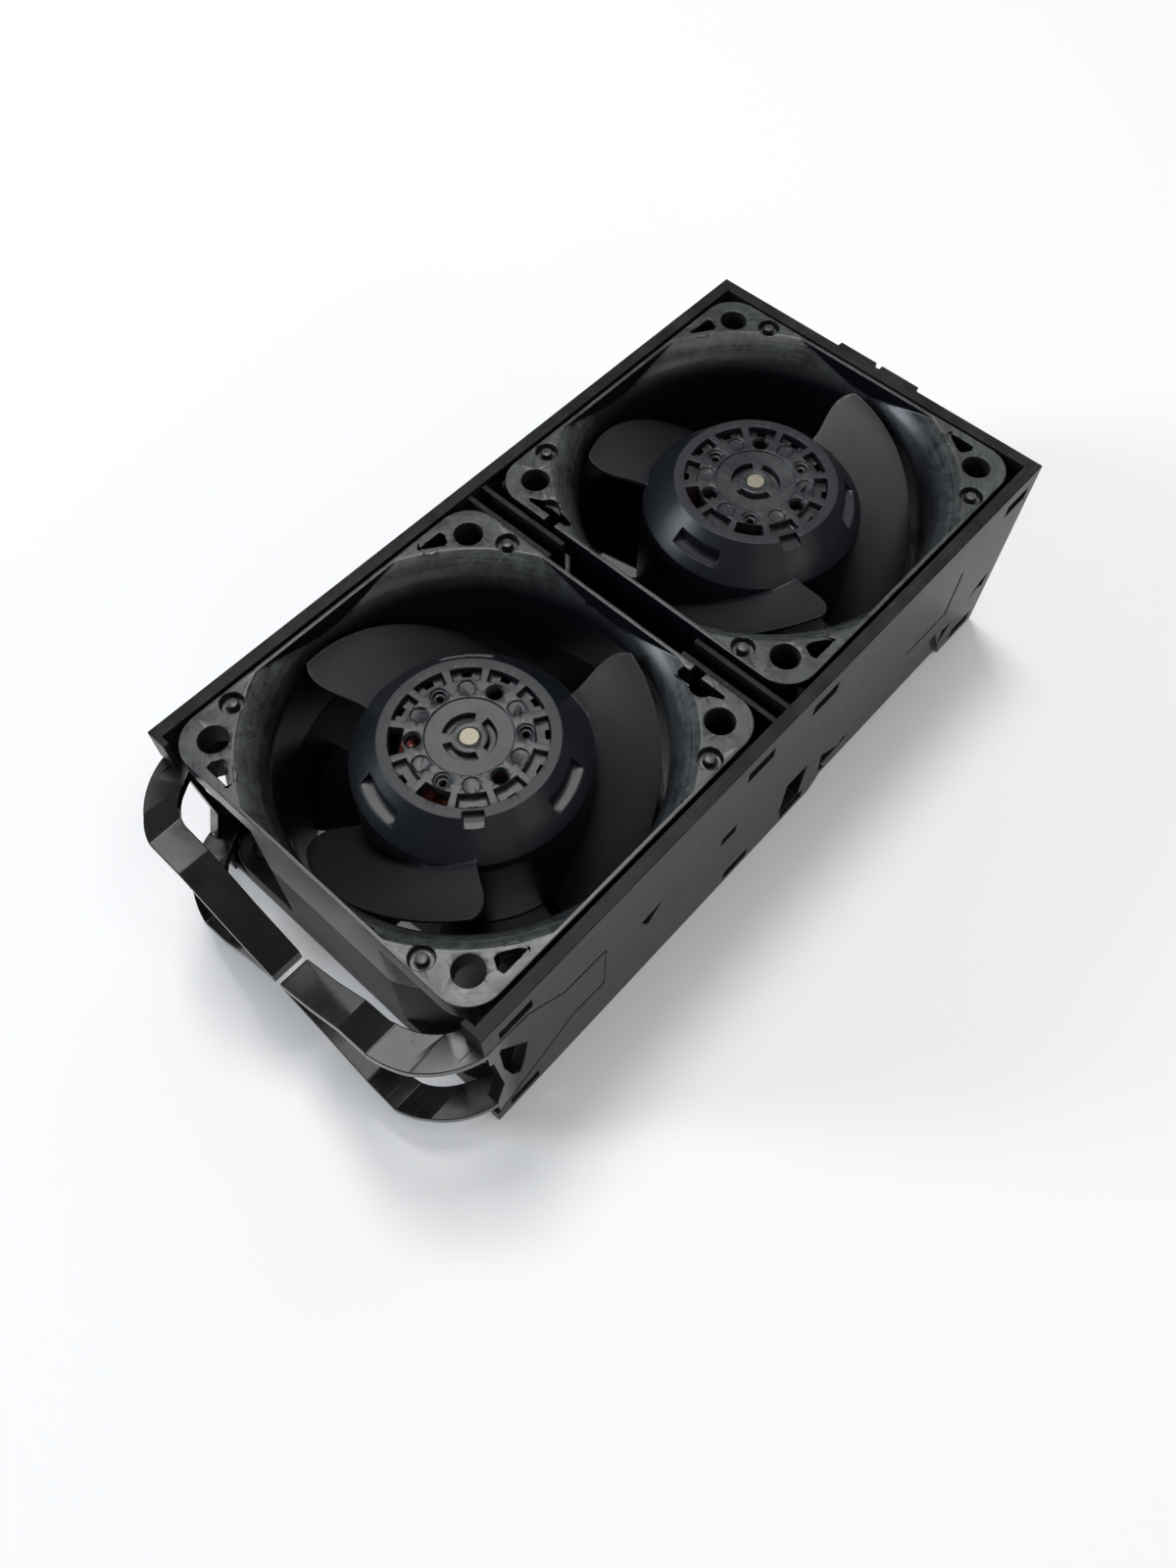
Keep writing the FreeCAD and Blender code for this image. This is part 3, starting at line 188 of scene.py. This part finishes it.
class Finish:
    """A material under construction: its nodes and its Principled shader."""

    def __init__(self, name, **constants):
        self.material = bpy.data.materials.new(name)
        self.material.use_nodes = True
        self.tree = self.material.node_tree
        self.shader = self.tree.nodes["Principled BSDF"]
        for socket, value in constants.items():
            self.set(socket.replace("_", " "), value)

    def add(self, kind, settings=None, inputs=None, output=0):
        """Add a node: its type, its settings, then the values or links of its sockets."""
        node = self.tree.nodes.new("ShaderNode" + kind)
        for key, value in (settings or {}).items():
            if key == "stops":
                self.fill_ramp(node.color_ramp, value)
            else:
                setattr(node, key, value)
        for key, value in (inputs or {}).items():
            self.join(node.inputs[key], value)
        return Value(self, node.outputs[output])

    def fill_ramp(self, ramp, stops):
        """Give a colour ramp its stops, each a place and a grey."""
        for spare in list(ramp.elements)[1:]:
            ramp.elements.remove(spare)
        for i, (place, shade) in enumerate(stops):
            stop = ramp.elements[0] if i == 0 else ramp.elements.new(place)
            stop.position = place
            stop.color = (shade, shade, shade, 1)

    def join(self, socket, value):
        """Link a socket to a value, or give it a constant."""
        if isinstance(value, Value):
            self.tree.links.new(value.output, socket)
        else:
            socket.default_value = value

    def set(self, socket, value):
        if isinstance(value, tuple) and len(value) == 3:
            value = (*value, 1)
        self.join(self.shader.inputs[socket], value)

    def place(self):
        """Where a point of the piece lies, in metres, the same in every pose."""
        return self.add("TexCoord", output="Object")

    def stretched(self, scale):
        """A place for noise that has its own scale along each axis."""
        return self.add("Mapping", {"vector_type": "POINT"}, {"Vector": self.place(), "Scale": scale})

    def cloud(self, scale, detail=3.0, roughness=0.55, place=None):
        """Soft noise between 0 and 1, with scale blobs to the metre."""
        return self.add("TexNoise", None, {
            "Vector": place or self.place(), "Scale": scale, "Detail": detail, "Roughness": roughness})

    def along(self, axis):
        """Where a point lies along X (0), Y (1) or Z (2), in mm."""
        return self.add("SeparateXYZ", None, {0: self.place()}, output=axis) * IN_MM

    def upward(self, low, high):
        """1 on faces that look up and 0 on upright ones."""
        facing = self.add("SeparateXYZ", None, {0: self.add("TexCoord", output="Normal")}, output=2)
        return self.rise(facing, low, high)

    def from_axis(self, centre):
        """How far a point lies from an upright axis along X, along Y and straight, in mm."""
        x = self.along(0) - centre[0] * IN_MM
        y = self.along(1) - centre[1] * IN_MM
        return x, y, self.add("Math", {"operation": "SQRT"}, {0: x * x + y * y})

    def ringed(self, centre, across, around):
        """A place for noise that is drawn out into rings about an upright axis."""
        x, y, distance = self.from_axis(centre)
        return self.add("CombineXYZ", None, {
            0: distance * across, 1: x / distance * around, 2: y / distance * around})

    def seen(self):
        """1 where the surface is seen by the camera or in a reflection, and 0 where it lights others."""
        path = [self.add("LightPath", output=name) for name in ("Is Camera Ray", "Is Glossy Ray")]
        return path[0] + path[1]

    def rise(self, value, low, high):
        """0 below low, 1 above high, and even between."""
        return self.add("MapRange", None, {"Value": value, "From Min": low, "From Max": high})

    def mixed(self, share, first, second):
        """A number between two numbers."""
        return share * (second - first) + first

    def ramp(self, value, *stops):
        """A number read off a ramp of greys."""
        return self.add("ValToRGB", {"stops": stops}, {"Fac": value})

    def blend(self, share, first, second):
        """A colour between two colours."""
        inputs = {"Factor": share}
        for key, colour in ((6, first), (7, second)):
            inputs[key] = (*colour, 1) if isinstance(colour, tuple) else colour
        return self.add("Mix", {"data_type": "RGBA"}, inputs, output=2)

    def relief(self, height, depth, under=None):
        """A bump of the given depth in metres."""
        inputs = {"Height": height, "Distance": depth, "Strength": 1.0}
        if under is not None:
            inputs["Normal"] = under
        return self.add("Bump", None, inputs)


# ---- finishes ----------------------------------------------------------------------------------

def scratches(finish, across, along, patch):
    """Fine rubbed lines, drawn out along one axis and gathered in patches."""
    lines = finish.cloud(1.0, 2.0, 0.6, finish.stretched((across, along, across)))
    patches = finish.ramp(finish.cloud(patch), (0.46, 0.0), (0.62, 1.0))
    return finish.ramp(lines, (0.57, 0.0), (0.70, 1.0)) * patches


def wear(finish, film=1.0):
    """The share of pale film: soft clouds of handling under two runs of fine scratches."""
    clouds = finish.ramp(finish.cloud(150.0, 6.0, 0.70), (0.40, 0.0), (0.72, 1.0))
    lines = scratches(finish, 2100.0, 190.0, 70.0) + scratches(finish, 230.0, 2300.0, 55.0)
    return (clouds * 0.6 + lines * 0.5) * film


def skin(finish, waves=0.00003, grain=0.000004):
    """The unevenness of a moulded face: slow waves of sink over a fine grain, in metres."""
    fine = finish.relief(finish.cloud(5200.0, 2.0), grain)
    finish.set("Normal", finish.relief(finish.cloud(240.0, 2.0), waves, fine))


def dull_black(finish):
    """The tray's colour and roughness: dull dark rails, and walls with a warmer film whose warm tint is a
    painted reflection of warm surroundings.
    """
    rail = finish.upward(0.3, 0.8)
    worn = wear(finish)
    # Upright walls take the warm film, a painted reflection; faces that look up take the rubbed rail film.
    film_and_reflection_colour = finish.blend(rail, WALL_FILM_WARM_REFLECTION, RAIL_FILM)
    film = worn * finish.mixed(rail, 0.30, 0.45)
    return {
        "Base Color": finish.blend(film, TRAY_BLACK, film_and_reflection_colour),
        "Roughness": worn * 0.06 + rail * 0.16 + 0.32,
        "Specular IOR Level": 0.11,
    }


def tray_moulding():
    """The tray: dull black plastic."""
    finish = Finish("tray_plastic")
    for socket, value in dull_black(finish).items():
        finish.set(socket, value)
    skin(finish)
    return finish.material


def lever_moulding():
    """A lever: polished straps with handled tops, and a spring plate as dull as the tray's wall about it,
    with the wall's painted warm reflection.
    """
    finish = Finish("lever_plastic")
    worn = wear(finish)
    finish.set("Base Color", finish.blend(worn * 0.16, LEVER_BLACK, LEVER_FILM))
    finish.set("Roughness", worn * 0.12 + finish.upward(0.97, 0.995) * 0.19 + 0.13)
    skin(finish)
    plate = finish.rise(finish.along(0), LEVER_PLATE_X, LEVER_PLATE_X + 2.5)
    # The plate takes the tray's colours, so also the walls' painted warm reflection.
    dull = finish.add("BsdfPrincipled", None, dull_black(finish))
    polished = Value(finish, finish.shader.outputs[0])
    both = finish.add("MixShader", None, {0: plate, 1: polished, 2: dull})
    finish.join(finish.tree.nodes["Material Output"].inputs["Surface"], both)
    return finish.material


def middle(fan):
    """Where a fan's axis stands."""
    low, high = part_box(fan + "_shaft")
    return [(a + b) / 2 for a, b in zip(low, high)]


def framed(fan):
    """A fan frame: a dark polished barrel, and a satin flange with a grey film in arcs about the inlet,
    which runs down the bell's lip as a painted highlight, and painted shade in the bolt holes.
    """
    finish = Finish(fan + "_frame")
    # The pale film covers faces that look up from the bell's lip to the flange top: wear and swirl marks,
    # and on the lip a painted highlight in bands.
    face = finish.rise(finish.along(2), FILM_AND_LIP_HIGHLIGHT_FROM, FILM_AND_LIP_HIGHLIGHT_FULL) * finish.upward(0.05, 0.8)
    arcs = finish.cloud(1.0, 5.0, 0.75, finish.ringed(middle(fan), 2.2, 1.3))
    mottle = finish.ramp(finish.cloud(620.0, 4.0, 0.65), (0.38, 0.0), (0.66, 1.0)) * 0.35
    film = (wear(finish, 0.9) + finish.ramp(arcs, (0.42, 0.0), (0.70, 1.0)) * 0.5 + mottle) * face
    x, y, distance = finish.from_axis(middle(fan))
    x, y = [finish.add("Math", {"operation": "ABSOLUTE"}, {0: side}) - HOLE_FROM_AXIS for side in (x, y)]
    from_hole = finish.add("Math", {"operation": "SQRT"}, {0: x * x + y * y})
    # Painted shade: the bolt holes' walls are coloured near black and made rough, standing for the shade
    # deep in the holes.
    bolt_hole_shade = 1.0 - finish.rise(from_hole, HOLE_RADIUS - 0.03, HOLE_RADIUS + 0.09)
    colour = finish.blend(film * 0.46, FRAME_BLACK, FRAME_FILM_AND_LIP_HIGHLIGHT)
    finish.set("Base Color", finish.blend(bolt_hole_shade, colour, BOLT_HOLE_SHADE))
    finish.set("Roughness", film * 0.17 + finish.mixed(face, 0.29, 0.30) + bolt_hole_shade * 0.6)
    skin(finish, 0.00001, 0.000008)
    return finish.material


def rotor(fan):
    """An impeller: a dark smooth hub tinted blue as a painted reflection, with a greyer rubbed face inside
    its ring, and satin blades.
    """
    finish = Finish(fan + "_rotor", Specular_IOR_Level=0.4)
    distance = finish.from_axis(middle(fan))[2]
    blade = finish.rise(distance, HUB_RADIUS + 0.1, HUB_RADIUS + 0.9)
    face = 1.0 - finish.rise(distance, HUB_DISC_RADIUS - 0.5, HUB_DISC_RADIUS + 0.5)
    colour = finish.blend(blade, HUB_BLACK_BLUE_REFLECTION, BLADE_BLACK)
    film = wear(finish) * (face * 0.42 + 0.05)
    finish.set("Base Color", finish.blend(film, colour, ROTOR_FILM))
    past_ring = finish.rise(distance, HUB_RING_RADIUS - 0.05, HUB_RING_RADIUS + 0.1)
    ring = finish.rise(distance, HUB_DISC_RADIUS + 0.1, HUB_DISC_RADIUS + 0.4) * (1.0 - past_ring)
    finish.set("Roughness", film * 0.10 + blade * 0.06 + ring * 0.10 + 0.38)
    skin(finish)
    return finish.material


def coppery():
    """Enamelled copper wire under varnish, wound in turns that show as fine ridges."""
    finish = Finish("enamelled_copper", Metallic=0.35, Coat_Weight=1.0, Coat_Roughness=0.10)
    tone = finish.cloud(900.0, 3.0)
    finish.set("Base Color", finish.blend(tone, WIRE_DARK, WIRE_LIGHT))
    finish.set("Roughness", tone * 0.12 + 0.22)
    turns = finish.add("TexWave", {"wave_type": "BANDS", "bands_direction": "Z"},
                       {"Vector": finish.place(), "Scale": 620.0, "Distortion": 1.6})
    finish.set("Normal", finish.relief(turns, 0.00025))
    return finish.material


def metal(name, dark, light, roughness, brushed):
    """Bare metal, turned or rolled."""
    finish = Finish(name, Metallic=1.0)
    grain = finish.cloud(1.0, 3.0, 0.6, finish.stretched(brushed))
    finish.set("Base Color", finish.blend(grain, dark, light))
    finish.set("Roughness", grain * 0.16 + roughness)
    finish.set("Normal", finish.relief(grain, 0.00001))
    return finish.material


def laminate():
    """Circuit board: solder mask over faint copper runs."""
    finish = Finish("circuit_board", Coat_Weight=0.4, Coat_Roughness=0.2)
    runs = finish.ramp(finish.cloud(700.0, 0.0), (0.49, 0.0), (0.52, 1.0))
    finish.set("Base Color", finish.blend(runs, BOARD_DARK, BOARD_LIGHT))
    finish.set("Roughness", runs * 0.1 + 0.4)
    finish.set("Normal", finish.relief(runs, 0.00003))
    return finish.material


def plain(name, colour, roughness, level):
    """A single-coloured moulded part with a fine skin."""
    finish = Finish(name, Specular_IOR_Level=level)
    tone = finish.cloud(1400.0, 3.0)
    darker = tuple(channel * 0.8 for channel in colour)
    finish.set("Base Color", finish.blend(tone, darker, colour))
    finish.set("Roughness", tone * 0.1 + roughness)
    finish.set("Normal", finish.relief(finish.cloud(5200.0), 0.00002))
    return finish.material


def make_finishes():
    """A finish for each material slot, and for each fan its own frame and rotor."""
    finishes = {
        "tray_plastic": tray_moulding(),
        "lever_plastic": lever_moulding(),
        "copper_wire": coppery(),
        "board_laminate": laminate(),
    }
    for fan in ("near", "far"):
        finishes[fan + "_frame"] = framed(fan)
        finishes[fan + "_rotor"] = rotor(fan)
    for slot, settings in METALS.items():
        finishes[slot] = metal(*settings)
    for slot, settings in PLASTICS.items():
        finishes[slot] = plain(slot, *settings)
    return finishes


FINISHES = make_finishes()
SLOT_OF = {part["node"]: part["material_slot"] for part in frame["record"]["subparts"]}
BODY_OF = {node: body for body, nodes in frame["record"]["behaviour"]["bodies"].items() for node in nodes}


# ---- pieces from the solids --------------------------------------------------------------------

def finish_of(node):
    """The finish of a piece: its fan's for a frame or a rotor, else that of its kind or material slot."""
    fan, _, kind = node.partition("_")
    if kind == "inlet_frame":
        return FINISHES[fan + "_frame"]
    if kind == "impeller":
        return FINISHES[fan + "_rotor"]
    if kind in ("outlet_frame", "guide_vanes", "motor_base"):
        return FINISHES["duct_plastic"]
    return FINISHES["lever_plastic" if "lever" in node else SLOT_OF[node]]


def dress(node):
    """Give a solid that is shown as it is its finish."""
    materials = frame["nodes"][node].data.materials
    materials.clear()
    materials.append(finish_of(node))


def turned(points, quarters):
    """Points turned by whole quarter turns about the origin."""
    for _ in range(quarters):
        points = [(-y, x) for x, y in points]
    return points


def circle(centre, radius, steps=48):
    """Points round a circle."""
    turns = [math.tau * i / steps for i in range(steps)]
    return [(centre[0] + radius * math.cos(t), centre[1] + radius * math.sin(t)) for t in turns]


def upright(fan, outlines, low, high):
    """A mesh of upright solids from outlines in mm about a fan's axis. A pair of outlines is a ring."""
    centre = middle(fan)
    way = 1 if fan == "near" else -1
    work = bmesh.new()
    for outline in outlines:
        rims = outline if isinstance(outline, tuple) else (outline,)
        loops = []
        for rim in rims:
            for z in (low, high):
                spots = [(centre[0] + way * x * MM, centre[1] + way * y * MM, z * MM) for x, y in rim]
                loops.append([work.verts.new(spot) for spot in spots])
        count = len(loops[0])
        pairs = [(0, 1)] if len(rims) == 1 else [(0, 1), (2, 3), (0, 2), (1, 3)]
        for one, other in pairs:
            for i in range(count):
                j = (i + 1) % count
                work.faces.new((loops[one][i], loops[one][j], loops[other][j], loops[other][i]))
        if len(rims) == 1:
            work.faces.new(loops[0])
            work.faces.new(loops[1])
    bmesh.ops.recalc_face_normals(work, faces=work.faces)
    mesh = bpy.data.meshes.new(fan + "_upright")
    work.to_mesh(mesh)
    work.free()
    return mesh


def worked(thing):
    """The mesh of an object with its modifiers worked in."""
    bpy.context.view_layer.update()
    return bpy.data.meshes.new_from_object(thing.evaluated_get(bpy.context.evaluated_depsgraph_get()))


def combined(mesh, steps):
    """A mesh after solids are joined to it or cut out of it, one step after another."""
    things = [bpy.data.objects.new("combined", mesh)]
    for operation, solid in steps:
        step = things[0].modifiers.new(operation, "BOOLEAN")
        step.operation = operation
        step.solver = "EXACT"
        step.object = bpy.data.objects.new("solid", solid)
        things.append(step.object)
    for thing in things:
        bpy.context.scene.collection.objects.link(thing)
    result = worked(things[0])
    for thing in things:
        bpy.data.objects.remove(thing)
    return result


def mark_pins(node, mesh):
    """Close the four pin marks that run into the corner slots and cut them on the holes' other side."""
    fan = node.partition("_")[0]
    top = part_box(node)[1][2] / MM
    closed = [circle(turned([PIN_MARK_CLOSED], quarters)[0], PIN_RECESS + 0.04) for quarters in range(4)]
    kept = [turned(CORNER_SLOT, quarters) for quarters in range(3)] + [WIRE_SLOT, circle((0, 0), MOUTH, 240)]
    filling = combined(upright(fan, closed, top - PIN_DEEP - 0.1, top),
                       [("DIFFERENCE", upright(fan, kept, top - PIN_DEEP - 1, top + 1))])
    marks = [turned([PIN_MARK], quarters)[0] for quarters in range(4)]
    rings = [(circle(mark, PIN_RECESS), circle(mark, PIN_ISLAND)) for mark in marks]
    return combined(mesh, [("UNION", filling), ("DIFFERENCE", upright(fan, rings, top - PIN_DEEP, top + 1))])


def clean(mesh):
    """Weld a solid's mesh and drop the flat seams of its upright walls."""
    work = bmesh.new()
    work.from_mesh(mesh)
    bmesh.ops.remove_doubles(work, verts=work.verts, dist=WELD * MM)
    walls = [e for e in work.edges if all(abs(face.normal.z) < 0.999 for face in e.link_faces)]
    bmesh.ops.dissolve_limit(work, angle_limit=FLAT_ANGLE, verts=work.verts[:0], edges=walls)
    for face in work.faces:
        face.smooth = True
    work.to_mesh(mesh)
    work.free()


def round_edges(piece, edge):
    """Work a rounding of every true edge into a piece's mesh, with its flat faces shaded flat."""
    rounding = piece.modifiers.new("rounding", "BEVEL")
    rounding.width = edge * MM
    rounding.segments = 2
    rounding.limit_method = "ANGLE"
    rounding.angle_limit = SHARP_ANGLE
    rounding.use_clamp_overlap = False
    evening = piece.modifiers.new("evening", "WEIGHTED_NORMAL")
    evening.weight = 90
    evening.keep_sharp = False
    piece.data = worked(piece)
    piece.modifiers.clear()


def soften(node, edge):
    """Stand a copy of a solid in its place, with its edges rounded as a mould leaves them."""
    mesh = frame["nodes"][node].data.copy()
    if node.endswith("inlet_frame"):
        mesh = mark_pins(node, mesh)
    piece = bpy.data.objects.new(node + "_moulding", mesh)
    bpy.context.scene.collection.objects.link(piece)
    clean(mesh)
    mesh.materials.clear()
    mesh.materials.append(finish_of(node))
    round_edges(piece, edge)
    low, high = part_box(node)
    for vertex in piece.data.vertices:
        vertex.co = [min(max(side, start), end) for side, start, end in zip(vertex.co, low, high)]
    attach(piece, BODY_OF[node])
    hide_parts(node)


def dress_all():
    """Give every solid its finish, and rounded copies to those that are moulded."""
    for node in frame["nodes"]:
        if not node.endswith(tuple(ROUNDED)):
            dress(node)
    for node in frame["nodes"]:
        for ending, edge in ROUNDED.items():
            if node.endswith(ending):
                soften(node, edge)


# ---- studio ------------------------------------------------------------------------------------

def lamp(name, place, size, watts, colour):
    """A rectangular soft lamp that faces the middle of the module."""
    data = bpy.data.lights.new(name, "AREA")
    data.shape = "RECTANGLE"
    data.size, data.size_y = size
    data.energy = watts
    data.color = colour
    lamp_object = bpy.data.objects.new(name, data)
    lamp_object.location = place
    lamp_object.rotation_mode = "QUATERNION"
    lamp_object.rotation_quaternion = (-Vector(place)).to_track_quat("-Z", "Y")
    bpy.context.scene.collection.objects.link(lamp_object)


def make_studio():
    """A pale floor that is a little lighter where it is seen, a dim world and the lamps."""
    floor_mesh = bpy.data.meshes.new("studio_floor")
    corners = [(x * FLOOR_HALF, y * FLOOR_HALF, 0) for x, y in ((-1, -1), (1, -1), (1, 1), (-1, 1))]
    floor_mesh.from_pydata(corners, [], [(0, 1, 2, 3)])
    floor = bpy.data.objects.new("studio_floor", floor_mesh)
    floor.location.z = -FLOOR_DROP
    bpy.context.scene.collection.objects.link(floor)
    ground = Finish("floor", Base_Color=FLOOR_COLOUR, Roughness=0.9, Emission_Strength=1.0)
    ground.set("Emission Color", ground.blend(ground.seen(), (0, 0, 0), FLOOR_GLOW))
    floor_mesh.materials.append(ground.material)
    world = bpy.data.worlds.new("studio")
    bpy.context.scene.world = world
    world.use_nodes = True
    backdrop = world.node_tree.nodes["Background"]
    backdrop.inputs["Color"].default_value = WORLD_COLOUR
    backdrop.inputs["Strength"].default_value = WORLD_STRENGTH
    for settings in LAMPS:
        lamp(*settings)


def make_camera():
    """Place and aim the camera, and roll it a little."""
    place = Vector(CAMERA_PLACE) * MM
    aim = Vector(CAMERA_AIM) * MM
    data = bpy.data.cameras.new("camera")
    data.lens = CAMERA_LENS
    data.clip_start = 0.01
    camera = bpy.data.objects.new("camera", data)
    camera.rotation_mode = "QUATERNION"
    camera.location = place
    facing = (aim - place).to_track_quat("-Z", "Y")
    camera.rotation_quaternion = facing @ Euler((0, 0, CAMERA_ROLL)).to_quaternion()
    bpy.context.scene.collection.objects.link(camera)
    bpy.context.scene.camera = camera


dress_all()
make_studio()
make_camera()
bpy.context.scene.view_settings.view_transform = "Standard"
